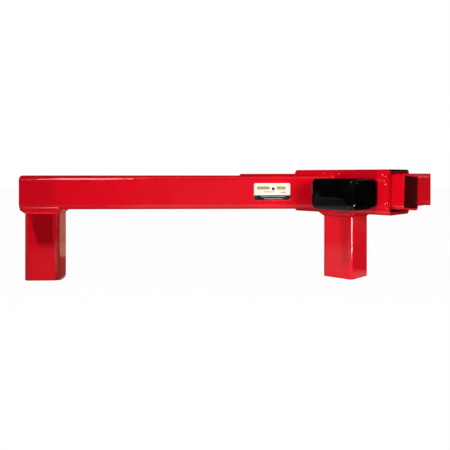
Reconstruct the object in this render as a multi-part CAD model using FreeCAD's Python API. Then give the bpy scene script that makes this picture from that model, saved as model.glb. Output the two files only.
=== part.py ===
import FreeCAD, Part
import math
import os

from FreeCAD import Placement, Rotation, Vector

# Pallet fork attachment. Units are millimetres.
# Origin: middle of the span between the legs, on the underside of the main beam, where the fork tines bear.
# +X runs along the main beam towards the angled sleeve, +Y away from the front face, +Z up.

INCH = 25.4

# Square tube shared by the beam, the legs and the rear stub
TUBE = 3.0 * INCH
TUBE_WALL = 0.25 * INCH
TUBE_RADIUS = 12.0
HALF_TUBE = TUBE / 2
EDGE_BREAK = 0.8

# Main beam
BEAM_LEFT_END_X = -388.0
END_PLATE_THICKNESS = 0.25 * INCH
BEAM_PLATE_EDGE = 4.5

# Legs
LEG_BOTTOM_Z = -157.5
LEFT_LEG_CENTRE_X = -338.0
RIGHT_LEG_OFFSET = 8.0
RIGHT_LEG_RADIUS = 9.0

# Angled sleeve: its axis crosses the beam's centreline at SLEEVE_CROSSING_X
SLEEVE_ANGLE = -45.0
SLEEVE_CROSSING_X = 348.0
SLEEVE_CENTRE_Z = 40.3
SLEEVE_SIDE = 98.0
SLEEVE_WALL = 0.25 * INCH
SLEEVE_RADIUS = 10.0
SLEEVE_LENGTH = 9.5 * INCH
SLEEVE_MOUTH = 140.0
HALF_SLEEVE = SLEEVE_SIDE / 2
SLEEVE_BOTTOM_Z = SLEEVE_CENTRE_Z - HALF_SLEEVE

# Sliding tube: it lies rolled in the sleeve's clearance
SLIDER_SIDE = 3.0 * INCH
SLIDER_WALL = 0.1875 * INCH
SLIDER_RADIUS = 9.5
SLIDER_LENGTH = 18.0 * INCH
SLIDER_REACH = 26.0
SLIDER_ROLL = -4.0

# Front stub and its bumper cap
BUMPER_WIDTH = 104.0
BUMPER_DEPTH = 103.0
BUMPER_HEIGHT = 66.0
BUMPER_RADIUS = 11.0
BUMPER_BOTTOM_RADIUS = 14.0
BUMPER_MOUTH_RADIUS = 4.0
BUMPER_CENTRE = 62.5
BUMPER_DROP = 3.2
BUMPER_STANDOFF = 1.0
BUMPER_NOSE = 12.0
FRONT_STUB_WIDTH = 3.0 * INCH
FRONT_STUB_HEIGHT = 2.0 * INCH
FRONT_STUB_WALL = 0.1875 * INCH
FRONT_STUB_RADIUS = 8.0
CAP_CLEARANCE = 0.1
WELD_RELIEF = 3.0

# Rear stub
REAR_STUB_LENGTH = 122.5
REAR_STUB_RISE = 2.3
REAR_PLATE_RADIUS = 3.0
REAR_PLATE_EDGE = 1.2

# Lock screw in the sleeve's rear wall
LOCK_POSITION = -45.0
NUT_ACROSS_FLATS = 24.0
NUT_HEIGHT = 13.0
NUT_BORE_RADIUS = 8.0
SCREW_RADIUS = 7.95
SCREW_HOLE_RADIUS = 9.0
SCREW_SHANK_LENGTH = 48.0
SCREW_HEAD_RADIUS = 12.0
SCREW_HEAD_LENGTH = 20.0
SCREW_HEAD_CHAMFER = 1.5
PAD_RADIUS = 8.5
PAD_THICKNESS = 3.6
PAD_GAP = 0.7
PAD_SOCKET_RADIUS = 4.0
PAD_SOCKET_DEPTH = 2.0
SPIGOT_CLEARANCE = 0.05
HANDLE_LENGTH = 120.0
HANDLE_RADIUS = 5.0
HANDLE_CLEARANCE = 0.1
HANDLE_KNOB_RADIUS = 7.5
HANDLE_KNOB_LENGTH = 8.0

# Label on the beam's front face
LABEL_CENTRE_X = 177.5
LABEL_CENTRE_Z = 39.5
LABEL_WIDTH = 82.0
LABEL_HEIGHT = 38.5
LABEL_THICKNESS = 0.5
LABEL_RADIUS = 4.0

# Welds
SKIRT_SPREAD = 8.5
SKIRT_END_SPREAD = 11.0
SKIRT_FLUSH_SPREAD = 1.2
SKIRT_DROP = 8.5
SKIRT_CROWN = 6.0
SKIRT_CROWN_INSET = 2.0
SKIRT_TOE = 0.6
BEAD_RADIUS = 5.0
SMALL_BEAD_RADIUS = 2.5

EDGE_TOLERANCE = 0.001
X_AXIS = Vector(1, 0, 0)
Y_AXIS = Vector(0, 1, 0)
Z_AXIS = Vector(0, 0, 1)


def long_edges(solid, axis):
    """The straight edges of a box that run along axis."""
    return [edge for edge in solid.Edges if abs(edge.tangentAt(edge.FirstParameter).dot(axis)) > 0.99]


def bar(width, height, radius, length):
    """Solid bar along +X from x = 0, centred on Y and Z, with rounded long edges."""
    block = Part.makeBox(length, width, height, Vector(0, -width / 2, -height / 2))
    return block.makeFillet(radius, long_edges(block, X_AXIS))


def hollow_bar(width, height, wall, radius, length):
    """Rectangular tube along +X with rounded corners inside and out."""
    inner = bar(width - 2 * wall, height - 2 * wall, radius - wall, length)
    return bar(width, height, radius, length).cut(inner)


def square_bar(side, radius, length):
    """Solid square bar along +X."""
    return bar(side, side, radius, length)


def square_tube(side, wall, radius, length):
    """Square tube along +X."""
    return hollow_bar(side, side, wall, radius, length)


def lies_at(edge, x):
    """True if an edge lies in the plane at x."""
    box = edge.BoundBox
    return max(abs(box.XMin - x), abs(box.XMax - x)) < EDGE_TOLERANCE


def edges_at(solid, x):
    """The edges of a solid that lie in the plane at x."""
    return [edge for edge in solid.Edges if lies_at(edge, x)]


def with_broken_edges(solid, x, radius=EDGE_BREAK):
    """Rounds the edges of a solid that lie in the plane at x, such as a tube's cut end."""
    return solid.makeFillet(radius, edges_at(solid, x))


def with_both_ends_broken(tube, length):
    """Rounds the edges of both cut ends of a tube that starts at x = 0."""
    return with_broken_edges(with_broken_edges(tube, 0), length)


def moved(shape, offset, axis=Z_AXIS, angle=0.0):
    """A copy of shape turned by angle about axis, then shifted by offset."""
    copy = shape.copy()
    copy.Placement = Placement(offset, Rotation(axis, angle)).multiply(copy.Placement)
    return copy


def in_sleeve_frame(shape):
    """Moves a shape from the sleeve's own frame, with X along its axis towards the mouth, to its place."""
    return moved(shape, Vector(SLEEVE_CROSSING_X, 0, SLEEVE_CENTRE_Z), Z_AXIS, SLEEVE_ANGLE)


def upright(shape):
    """Turns a bar that runs along +X so that it runs along -Z."""
    return moved(shape, Vector(0, 0, 0), Y_AXIS, 90.0)


def whole_beam():
    """The main beam as a solid bar that runs on to the sleeve's axis."""
    blank = square_bar(TUBE, TUBE_RADIUS, SLEEVE_CROSSING_X - BEAM_LEFT_END_X)
    return moved(blank, Vector(BEAM_LEFT_END_X, 0, HALF_TUBE))


def behind_sleeve_front():
    """Everything behind the plane of the sleeve's front face."""
    reach = 2 * SLEEVE_LENGTH
    return in_sleeve_frame(Part.makeBox(2 * reach, reach, 2 * reach, Vector(-reach, -HALF_SLEEVE, -reach)))


def main_beam():
    """Square tube between the end plate and the sleeve, mitred to the sleeve."""
    start = BEAM_LEFT_END_X + END_PLATE_THICKNESS
    tube = square_tube(TUBE, TUBE_WALL, TUBE_RADIUS, SLEEVE_CROSSING_X - start)
    return moved(tube, Vector(start, 0, HALF_TUBE)).cut(behind_sleeve_front())


def beam_end_plate():
    """Plate that closes the beam's left end."""
    plate = with_broken_edges(square_bar(TUBE, TUBE_RADIUS, END_PLATE_THICKNESS), 0, BEAM_PLATE_EDGE)
    return moved(plate, Vector(BEAM_LEFT_END_X, 0, HALF_TUBE))


def leg_tube(radius, length):
    """Square tube that hangs down from the origin, with its foot's edges broken."""
    return upright(with_broken_edges(square_tube(TUBE, TUBE_WALL, radius, length), length))


def left_leg():
    """Square tube that hangs below the beam's left end."""
    return moved(leg_tube(TUBE_RADIUS, -LEG_BOTTOM_Z), Vector(LEFT_LEG_CENTRE_X, 0, 0))


def right_leg():
    """Square tube that hangs below the sleeve, in line with it."""
    leg = leg_tube(RIGHT_LEG_RADIUS, SLEEVE_BOTTOM_Z - LEG_BOTTOM_Z)
    return in_sleeve_frame(moved(leg, Vector(RIGHT_LEG_OFFSET, 0, -HALF_SLEEVE)))


def sleeve_outer():
    """The sleeve as a solid bar, in its own frame."""
    outer = square_bar(SLEEVE_SIDE, SLEEVE_RADIUS, SLEEVE_LENGTH)
    return moved(outer, Vector(SLEEVE_MOUTH - SLEEVE_LENGTH, 0, 0))


def lock_hole():
    """Clearance hole for the lock screw through the sleeve's rear wall, in the sleeve's frame."""
    start = Vector(LOCK_POSITION, HALF_SLEEVE / 2, 0)
    return Part.makeCylinder(SCREW_HOLE_RADIUS, HALF_SLEEVE, start, Y_AXIS)


def sleeve_tube():
    """Large square tube, open at both ends, that holds the sliding tube."""
    tube = square_tube(SLEEVE_SIDE, SLEEVE_WALL, SLEEVE_RADIUS, SLEEVE_LENGTH)
    tube = with_both_ends_broken(tube, SLEEVE_LENGTH)
    placed = moved(tube, Vector(SLEEVE_MOUTH - SLEEVE_LENGTH, 0, 0))
    return in_sleeve_frame(placed.cut(lock_hole()))


def slider_tube():
    """Square tube that slides through the sleeve, rolled a few degrees in its clearance."""
    tube = square_tube(SLIDER_SIDE, SLIDER_WALL, SLIDER_RADIUS, SLIDER_LENGTH)
    tube = with_both_ends_broken(tube, SLIDER_LENGTH)
    start = SLEEVE_MOUTH + SLIDER_REACH - SLIDER_LENGTH
    return in_sleeve_frame(moved(tube, Vector(start, 0, 0), X_AXIS, SLIDER_ROLL))


def pointing_forward(shape):
    """Turns a bar that runs along +X so that it leaves the sleeve's front face."""
    return moved(shape, Vector(BUMPER_CENTRE, -HALF_SLEEVE, -BUMPER_DROP), Z_AXIS, -90.0)


def front_stub_length():
    """From the sleeve's front face to the inside of the bumper's nose."""
    return BUMPER_STANDOFF + BUMPER_DEPTH - BUMPER_NOSE


def front_stub_tube():
    """Rectangular tube welded to the sleeve's front face, inside the bumper cap."""
    tube = hollow_bar(
        FRONT_STUB_WIDTH, FRONT_STUB_HEIGHT, FRONT_STUB_WALL, FRONT_STUB_RADIUS, front_stub_length()
    )
    return in_sleeve_frame(pointing_forward(tube))


def front_stub_blank(grow, length):
    """Solid bar with the front stub's outline, larger by grow all round."""
    return bar(FRONT_STUB_WIDTH + 2 * grow, FRONT_STUB_HEIGHT + 2 * grow, FRONT_STUB_RADIUS + grow, length)


def bumper_cap():
    """Moulded cap with rounded edges that slips over the front stub. Its mouth is relieved for the weld."""
    corner = Vector(BUMPER_STANDOFF, -BUMPER_WIDTH / 2, -BUMPER_HEIGHT / 2)
    block = Part.makeBox(BUMPER_DEPTH, BUMPER_WIDTH, BUMPER_HEIGHT, corner)
    lower_edges = [edge for edge in long_edges(block, X_AXIS) if edge.BoundBox.ZMax < 0]
    block = block.makeFillet(BUMPER_BOTTOM_RADIUS, lower_edges)
    upper_edges = [edge for edge in long_edges(block, X_AXIS) if edge.BoundBox.ZMin > BUMPER_HEIGHT / 4]
    block = block.makeFillet(BUMPER_RADIUS, upper_edges + edges_at(block, BUMPER_STANDOFF + BUMPER_DEPTH))
    block = with_broken_edges(block, BUMPER_STANDOFF, BUMPER_MOUTH_RADIUS)
    pocket = front_stub_blank(CAP_CLEARANCE, front_stub_length() + CAP_CLEARANCE)
    relief = front_stub_blank(WELD_RELIEF, BUMPER_STANDOFF + WELD_RELIEF)
    return in_sleeve_frame(pointing_forward(block.cut(pocket).cut(relief)))


def pointing_back(shape):
    """Turns a bar that runs along +X so that it leaves the sleeve's rear face, flush with the mouth."""
    return moved(shape, Vector(SLEEVE_MOUTH - HALF_TUBE, HALF_SLEEVE, REAR_STUB_RISE), Z_AXIS, 90.0)


def rear_stub_tube():
    """Square tube welded to the sleeve's rear face."""
    tube = square_tube(TUBE, TUBE_WALL, TUBE_RADIUS, REAR_STUB_LENGTH - END_PLATE_THICKNESS)
    return in_sleeve_frame(pointing_back(tube))


def rear_stub_end_plate():
    """Plate that closes the rear stub."""
    plate = square_bar(TUBE, REAR_PLATE_RADIUS, END_PLATE_THICKNESS)
    plate = with_broken_edges(plate, END_PLATE_THICKNESS, REAR_PLATE_EDGE)
    return in_sleeve_frame(pointing_back(moved(plate, Vector(REAR_STUB_LENGTH - END_PLATE_THICKNESS, 0, 0))))


def along_lock_axis(shape):
    """Turns a shape made along +Z from z = 0 so that it leaves the sleeve's rear face on the lock's axis."""
    return in_sleeve_frame(moved(shape, Vector(LOCK_POSITION, HALF_SLEEVE, 0), X_AXIS, -90.0))


def hexagon(across_flats, height):
    """Hexagonal prism along +Z."""
    corner = across_flats / math.sqrt(3)
    points = [
        Vector(corner * math.cos(math.radians(60 * side)), corner * math.sin(math.radians(60 * side)), 0)
        for side in range(7)
    ]
    return Part.Face(Part.makePolygon(points)).extrude(Vector(0, 0, height))


def lock_nut():
    """Hexagonal nut welded over the hole in the sleeve's rear wall."""
    bore = Part.makeCylinder(NUT_BORE_RADIUS, NUT_HEIGHT)
    return along_lock_axis(hexagon(NUT_ACROSS_FLATS, NUT_HEIGHT).cut(bore))


def pad_face_depth():
    """Distance from the sleeve's rear face down to the pad's pressing face."""
    slider_face = SLIDER_SIDE / 2 / math.cos(math.radians(SLIDER_ROLL))
    return HALF_SLEEVE - slider_face - PAD_GAP


def lock_pad():
    """Swivelling pad at the tip of the lock screw. It presses on the sliding tube without turning."""
    pad = Part.makeCylinder(PAD_RADIUS, PAD_THICKNESS)
    socket_floor = Vector(0, 0, PAD_THICKNESS - PAD_SOCKET_DEPTH)
    socket = Part.makeCylinder(PAD_SOCKET_RADIUS, PAD_SOCKET_DEPTH, socket_floor)
    return along_lock_axis(moved(pad.cut(socket), Vector(0, 0, -pad_face_depth())))


def screw_tip_z():
    """Height of the screw's shoulder above the sleeve's rear face. It is negative inside the sleeve."""
    return PAD_THICKNESS - pad_face_depth() + SPIGOT_CLEARANCE


def head_centre_z():
    """Height of the screw head's middle above the sleeve's rear face."""
    return screw_tip_z() + SCREW_SHANK_LENGTH + SCREW_HEAD_LENGTH / 2


def lock_screw():
    """Lock screw with a spigot that sits in the pad, and a round head bored for the handle."""
    tip = screw_tip_z()
    spigot = Part.makeCylinder(
        PAD_SOCKET_RADIUS - SPIGOT_CLEARANCE,
        PAD_SOCKET_DEPTH,
        Vector(0, 0, tip - PAD_SOCKET_DEPTH),
    )
    shank = Part.makeCylinder(SCREW_RADIUS, SCREW_SHANK_LENGTH, Vector(0, 0, tip))
    head = Part.makeCylinder(SCREW_HEAD_RADIUS, SCREW_HEAD_LENGTH, Vector(0, 0, tip + SCREW_SHANK_LENGTH))
    head = head.makeChamfer(SCREW_HEAD_CHAMFER, [edge for edge in head.Edges if edge.Closed])
    hole_start = Vector(-SCREW_HEAD_RADIUS, 0, head_centre_z())
    hole_radius = HANDLE_RADIUS + HANDLE_CLEARANCE
    cross_hole = Part.makeCylinder(hole_radius, 2 * SCREW_HEAD_RADIUS, hole_start, X_AXIS)
    return along_lock_axis(spigot.fuse([shank, head]).removeSplitter().cut(cross_hole))


def lock_handle_bar():
    """Bar through the screw's head, with a knob at each end."""
    start = Vector(-HANDLE_LENGTH / 2, 0, head_centre_z())
    rod = Part.makeCylinder(HANDLE_RADIUS, HANDLE_LENGTH, start, X_AXIS)
    knobs = [
        Part.makeCylinder(HANDLE_KNOB_RADIUS, HANDLE_KNOB_LENGTH, start + X_AXIS * shift, X_AXIS)
        for shift in (0, HANDLE_LENGTH - HANDLE_KNOB_LENGTH)
    ]
    return along_lock_axis(rod.fuse(knobs).removeSplitter())


def label_plate():
    """Thin rounded label on the beam's front face."""
    left = LABEL_CENTRE_X - LABEL_WIDTH / 2
    foot = LABEL_CENTRE_Z - LABEL_HEIGHT / 2
    corner = Vector(left, -HALF_TUBE - LABEL_THICKNESS, foot)
    blank = Part.makeBox(LABEL_WIDTH, LABEL_THICKNESS, LABEL_HEIGHT, corner)
    return blank.makeFillet(LABEL_RADIUS, long_edges(blank, Y_AXIS))


def rectangle(low_x, high_x, low_y, high_y, z):
    """Closed rectangular wire at height z."""
    corners = [(low_x, low_y), (high_x, low_y), (high_x, high_y), (low_x, high_y), (low_x, low_y)]
    return Part.makePolygon([Vector(x, y, z) for x, y in corners])


def weld_skirt(left, right, side, radius):
    """Fillet weld round the top of a leg. It spreads by left, right and side at the joint, at z = 0."""
    toe = HALF_TUBE + SKIRT_TOE
    foot = rectangle(-toe, toe, -toe, toe, -SKIRT_DROP)
    reach = HALF_TUBE + side
    rim = rectangle(-HALF_TUBE - left, HALF_TUBE + right, -reach, reach, 0)
    slope = Part.makeLoft([foot, rim], True)
    inset = HALF_TUBE - SKIRT_CROWN_INSET
    crown_reach = reach - SKIRT_CROWN_INSET
    crown = rectangle(-inset - left, inset + right, -crown_reach, crown_reach, SKIRT_CROWN)
    collar = Part.makeLoft([rim, crown], True)
    leg = upright(square_bar(TUBE, radius, 2 * SKIRT_DROP))
    return slope.fuse(collar).removeSplitter().cut(leg)


def left_leg_weld():
    """Weld between the left leg and the beam."""
    skirt = weld_skirt(SKIRT_END_SPREAD, SKIRT_SPREAD, SKIRT_FLUSH_SPREAD, TUBE_RADIUS)
    placed = moved(skirt, Vector(LEFT_LEG_CENTRE_X, 0, 0))
    return placed.cut(whole_beam()).cut(beam_end_plate())


def right_leg_weld():
    """Weld between the right leg and the sleeve."""
    skirt = weld_skirt(SKIRT_SPREAD, SKIRT_SPREAD, SKIRT_SPREAD, RIGHT_LEG_RADIUS)
    placed = moved(skirt, Vector(RIGHT_LEG_OFFSET, 0, -HALF_SLEEVE))
    return in_sleeve_frame(placed.cut(sleeve_outer()))


def bead_round(outline, radius, *solids):
    """Round weld bead along a closed outline, less the solids it joins."""
    edge = outline.Edges[0]
    centre = edge.valueAt(edge.FirstParameter)
    profile = Part.Wire(Part.makeCircle(radius, centre, edge.tangentAt(edge.FirstParameter)))
    bead = outline.makePipeShell([profile], True, False)
    for solid in solids:
        bead = bead.cut(solid)
    return bead


def outline_on(solid, normal, distance):
    """Outline of a solid where a plane cuts it."""
    return solid.slice(normal, distance)[0]


def sleeve_front_normal():
    """Unit normal of the sleeve's front face."""
    angle = math.radians(SLEEVE_ANGLE)
    return Vector(-math.sin(angle), math.cos(angle), 0)


def beam_to_sleeve_weld():
    """Weld round the mitred end of the beam."""
    normal = sleeve_front_normal()
    distance = normal.x * SLEEVE_CROSSING_X - HALF_SLEEVE
    outline = outline_on(whole_beam(), normal, distance)
    return bead_round(outline, BEAD_RADIUS, whole_beam(), in_sleeve_frame(sleeve_outer()))


def stub_weld(stub, face_y, radius):
    """Weld bead round a stub where it meets the sleeve's front or rear face, in the sleeve's frame."""
    return bead_round(outline_on(stub, Y_AXIS, face_y), radius, stub, sleeve_outer())


def front_stub_weld():
    """Weld round the root of the front stub."""
    stub = moved(pointing_forward(front_stub_blank(0, BUMPER_DEPTH)), Vector(0, SLEEVE_WALL, 0))
    return in_sleeve_frame(stub_weld(stub, -HALF_SLEEVE, SMALL_BEAD_RADIUS))


def rear_stub_weld():
    """Weld round the root of the rear stub, ground flush with the sleeve's mouth."""
    stub = moved(pointing_back(square_bar(TUBE, TUBE_RADIUS, REAR_STUB_LENGTH)), Vector(0, -SLEEVE_WALL, 0))
    beyond_mouth = Part.makeBox(TUBE, SLEEVE_SIDE, 2 * TUBE, Vector(SLEEVE_MOUTH, 0, -TUBE))
    return in_sleeve_frame(stub_weld(stub, HALF_SLEEVE, BEAD_RADIUS).cut(beyond_mouth))


def lock_nut_weld():
    """Weld round the foot of the nut."""
    foot_radius = NUT_ACROSS_FLATS / math.sqrt(3) + SMALL_BEAD_RADIUS
    ring = Part.makeCone(foot_radius, NUT_ACROSS_FLATS / 2, SMALL_BEAD_RADIUS)
    return along_lock_axis(ring.cut(hexagon(NUT_ACROSS_FLATS, NUT_HEIGHT)))


NODES = {
    "main_beam": main_beam,
    "beam_end_plate": beam_end_plate,
    "left_leg": left_leg,
    "right_leg": right_leg,
    "sleeve_tube": sleeve_tube,
    "slider_tube": slider_tube,
    "front_stub_tube": front_stub_tube,
    "bumper_cap": bumper_cap,
    "rear_stub_tube": rear_stub_tube,
    "rear_stub_end_plate": rear_stub_end_plate,
    "lock_nut": lock_nut,
    "lock_pad": lock_pad,
    "lock_screw": lock_screw,
    "lock_handle_bar": lock_handle_bar,
    "label_plate": label_plate,
    "left_leg_weld": left_leg_weld,
    "right_leg_weld": right_leg_weld,
    "beam_to_sleeve_weld": beam_to_sleeve_weld,
    "front_stub_weld": front_stub_weld,
    "rear_stub_weld": rear_stub_weld,
    "lock_nut_weld": lock_nut_weld,
}

os.makedirs("parts", exist_ok=True)
for name, make in NODES.items():
    shape = make()
    shape.exportStep(f"parts/{name}.step")
    print(name, len(shape.Solids), round(shape.Volume), shape.isValid())
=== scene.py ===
import math
import random

import bmesh
import bpy
from mathutils import Matrix, Vector


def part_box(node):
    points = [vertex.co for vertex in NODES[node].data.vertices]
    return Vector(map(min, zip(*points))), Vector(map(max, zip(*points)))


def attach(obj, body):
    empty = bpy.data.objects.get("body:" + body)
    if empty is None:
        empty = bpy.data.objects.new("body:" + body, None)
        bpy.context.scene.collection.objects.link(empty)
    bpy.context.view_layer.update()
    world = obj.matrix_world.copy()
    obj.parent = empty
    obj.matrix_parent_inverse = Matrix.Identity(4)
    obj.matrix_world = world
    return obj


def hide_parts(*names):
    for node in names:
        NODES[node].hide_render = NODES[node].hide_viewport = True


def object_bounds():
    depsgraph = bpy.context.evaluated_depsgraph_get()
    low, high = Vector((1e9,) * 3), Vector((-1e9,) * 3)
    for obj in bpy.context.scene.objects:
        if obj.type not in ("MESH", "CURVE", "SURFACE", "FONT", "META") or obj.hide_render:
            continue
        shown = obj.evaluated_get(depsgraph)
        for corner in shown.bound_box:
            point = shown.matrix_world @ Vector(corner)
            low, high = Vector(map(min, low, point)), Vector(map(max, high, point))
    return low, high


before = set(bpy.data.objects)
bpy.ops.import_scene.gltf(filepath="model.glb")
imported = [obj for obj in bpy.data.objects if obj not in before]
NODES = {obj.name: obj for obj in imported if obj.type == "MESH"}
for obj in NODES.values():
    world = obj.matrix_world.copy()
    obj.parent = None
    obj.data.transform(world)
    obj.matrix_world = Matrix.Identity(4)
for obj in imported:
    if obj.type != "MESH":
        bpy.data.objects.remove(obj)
CAD_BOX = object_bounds()
RANDOM = random.Random(7)

MM = 0.001

# Camera: level, just right of the origin, at about the height of the beam's top face
CAMERA_PLACE = (0.0215, -1.2426, 0.07806)
CAMERA_YAW = -0.041
CAMERA_SHIFT_Y = -0.1119
SENSOR_WIDTH = 36.0
FOCAL_LENGTH = 42.832


def middle(node):
    low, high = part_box(node)
    return (low + high) / 2


def half_height_of(node):
    """Half a node's height, in millimetres."""
    low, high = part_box(node)
    return (high.z - low.z) / 2 / MM


# Tube sizes, in millimetres
HALF_TUBE = half_height_of("main_beam")
HALF_SLEEVE = half_height_of("sleeve_tube")
TUBE_RADIUS = 12.0
RIGHT_LEG_RADIUS = 9.0
RIGHT_LEG_OFFSET = 8.0

# The sleeve's own frame: X along its axis to the mouth, Y to the rear, from where its axis crosses
# the beam's. The axis runs at 45 degrees, so the crossing's X is the sum of any of its points' X and Y.
SLEEVE_TURN = math.radians(-45)
SLEEVE_MIDDLE = middle("sleeve_tube")
SLEEVE_CENTRE = Vector((SLEEVE_MIDDLE.x + SLEEVE_MIDDLE.y, 0, SLEEVE_MIDDLE.z))
SLEEVE_FRAME = Matrix.Translation(SLEEVE_CENTRE) @ Matrix.Rotation(SLEEVE_TURN, 4, "Z")
SLIDER_ROLL = math.radians(-4)


# ---------------------------------------------------------------- shader helpers


class Tree:
    """A node tree with short ways to add and join nodes."""

    def __init__(self, tree):
        self.tree = tree

    def add(self, kind, inputs=None, **settings):
        made = self.tree.nodes.new("ShaderNode" + kind)
        for key, value in settings.items():
            setattr(made, key, value)
        for key, value in (inputs or {}).items():
            self.feed(made.inputs[key], value)
        return made

    def feed(self, socket, value):
        if isinstance(value, bpy.types.NodeSocket):
            self.tree.links.new(value, socket)
        else:
            socket.default_value = value

    def math(self, operation, *values):
        made = self.add("Math", operation=operation)
        for place, value in enumerate(values):
            self.feed(made.inputs[place], value)
        return made.outputs[0]

    def step(self, value, low, high, to_low=0.0, to_high=1.0):
        """Smooth change from to_low to to_high while value goes from low to high."""
        limits = {1: low, 2: high, 3: to_low, 4: to_high}
        made = self.add("MapRange", limits, interpolation_type="SMOOTHSTEP")
        self.feed(made.inputs[0], value)
        return made.outputs[0]

    def colour(self, factor, first, second):
        made = self.add("Mix", data_type="RGBA")
        for place, value in ((0, factor), (6, first), (7, second)):
            self.feed(made.inputs[place], value)
        return made.outputs[2]

    def noise(self, vector, scale, detail=3.0, roughness=0.5):
        inputs = {"Vector": vector, "Scale": scale, "Detail": detail, "Roughness": roughness}
        return self.add("TexNoise", inputs).outputs["Fac"]

    def bump(self, height, distance, strength, normal=None):
        inputs = {"Height": height, "Distance": distance, "Strength": strength}
        if normal is not None:
            inputs["Normal"] = normal
        return self.add("Bump", inputs).outputs["Normal"]

    def split(self, vector):
        return self.add("SeparateXYZ", {0: vector}).outputs


def rgba(colour):
    """A colour with full opacity."""
    return (*colour, 1.0)


def new_material(name):
    material = bpy.data.materials.new(name)
    material.use_nodes = True
    shader = material.node_tree.nodes["Principled BSDF"]
    return material, Tree(material.node_tree), shader


def place_in_object(tree, offset):
    """Object coordinates in metres, shifted so that no two materials share a pattern."""
    place = tree.add("TexCoord").outputs["Object"]
    return tree.add("VectorMath", {0: place, 1: offset}, operation="ADD").outputs[0]


def edge_mask(tree, radius):
    """1 on sharp edges, 0 on open faces."""
    rounded = tree.add("Bevel", {"Radius": radius}, samples=4).outputs[0]
    flat = tree.add("NewGeometry").outputs["Normal"]
    turn = tree.add("VectorMath", {0: rounded, 1: flat}, operation="DOT_PRODUCT").outputs["Value"]
    return tree.step(turn, 0.99, 0.80)


def corner_mask(tree, turn):
    """1 on the rounded corners of a tube whose sides are turned by an angle about Z, 0 on its flats."""
    normal = tree.add("TexCoord").outputs["Normal"]
    turned = tree.add("VectorRotate", {"Vector": normal, "Angle": -turn}, rotation_type="Z_AXIS").outputs[0]
    sides = [tree.math("ABSOLUTE", side) for side in tree.split(turned)]
    most = tree.math("MAXIMUM", tree.math("MAXIMUM", sides[0], sides[1]), sides[2])
    return tree.step(most, 0.98, 0.80)


# ---------------------------------------------------------------- finishes

RED = (0.690, 0.0018, 0.0105)
RED_BRIGHT = (0.740, 0.0024, 0.0130)
RED_DEEP = (0.380, 0.0008, 0.004)
MILL_SCALE = (0.060, 0.0030, 0.0040)
RUST = (0.110, 0.0060, 0.0060)
# Near black painted on as shade along the top wall's sawn end
SHADE_BLACK = (0.006, 0.002, 0.002)
# Pale pink painted on as highlights: glints on the spatter beads' crowns
GLINT_PINK = (0.95, 0.34, 0.33)


def paint_colour(tree, place):
    """Glossy red powder coat: slow changes of tone, a fine mottle, and rare dark specks."""
    slow = tree.step(tree.noise(place, 9.0), 0.3, 0.7)
    tone = tree.colour(slow, rgba(RED), rgba(RED_BRIGHT))
    mottle = tree.step(tree.noise(place, 420.0, 4.0), 0.35, 0.75, 0.0, 0.10)
    tone = tree.colour(mottle, tone, rgba(RED_DEEP))
    specks = tree.add("TexVoronoi", {"Vector": place, "Scale": 70.0, "Randomness": 1.0}).outputs["Distance"]
    speck = tree.step(specks, 0.045, 0.02, 0.0, 0.45)
    return tree.colour(speck, tone, rgba(RED_DEEP))


def paint_bump(tree, place):
    """Orange peel over the slight unevenness of rolled tube."""
    wave = tree.bump(tree.noise(place, 34.0, 1.0), 0.0011, 0.5)
    peel = tree.bump(tree.noise(place, 430.0, 2.0), 0.00016, 0.55, wave)
    dust = tree.add("TexVoronoi", {"Vector": place, "Scale": 95.0}).outputs["Distance"]
    return tree.bump(tree.step(dust, 0.07, 0.02), 0.0002, 0.5, peel)


def wear(tree, place, edges, corners):
    """Where the coat is thin or rubbed: sharp edges, and scattered scuffs on the corners."""
    patches = tree.step(tree.noise(place, 60.0, 5.0, 0.65), 0.50, 0.66)
    on_edges = tree.math("MULTIPLY", edges, tree.step(tree.noise(place, 150.0, 3.0), 0.42, 0.62, 0.15, 0.9))
    on_corners = tree.math("MULTIPLY", tree.math("MULTIPLY", corners, patches), 0.28)
    return tree.math("MAXIMUM", on_edges, on_corners)


def underside(tree):
    """1 on faces that point down."""
    return tree.step(tree.split(tree.add("TexCoord").outputs["Normal"])[2], -0.62, -0.82)


def local_place(tree, frame_matrix):
    """X, Y and Z of the surface in the frame given by a matrix."""
    place = tree.add("TexCoord").outputs["Object"]
    inverse = frame_matrix.inverted()
    settings = {"Location": inverse.to_translation(), "Rotation": inverse.to_euler()}
    local = tree.add("Mapping", {"Vector": place, **settings}, vector_type="POINT").outputs[0]
    return tree.split(local)


def inside_mask(tree, frame_matrix, half_width, half_height):
    """1 inside a tube, in the frame whose X is the tube's axis. Also gives the distance along the axis."""
    x, y, z = local_place(tree, frame_matrix)
    in_y = tree.math("LESS_THAN", tree.math("ABSOLUTE", y), half_width)
    in_z = tree.math("LESS_THAN", tree.math("ABSOLUTE", z), half_height)
    return tree.math("MULTIPLY", in_y, in_z), x


def painted_mouth_shade(tree, colour, frame_matrix, end, shade_above):
    """Painted shade on the sawn end of a tube: the end face and a thin band beside it are painted darker, and
    near black above a given height, along the top wall.
    """
    x, _, z = local_place(tree, frame_matrix)
    normal = tree.add("TexCoord").outputs["Normal"]
    axis = frame_matrix.to_3x3() @ Vector((1, 0, 0))
    facing = tree.add("VectorMath", {0: normal, 1: axis}, operation="DOT_PRODUCT").outputs["Value"]
    beside_lip = tree.step(x, end - 0.0034, end - 0.0020, 0.0, 0.7)
    lip = tree.math("MAXIMUM", tree.step(facing, 0.5, 0.9), beside_lip)
    shaded_end = tree.math("MULTIPLY", tree.step(x, end - 0.0040, end - 0.0025), lip)
    shaded_top = tree.step(z, shade_above - 0.001, shade_above + 0.001)
    tone = tree.colour(shaded_top, rgba(RED_DEEP), rgba(SHADE_BLACK))
    return tree.colour(shaded_end, colour, tone)


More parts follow.
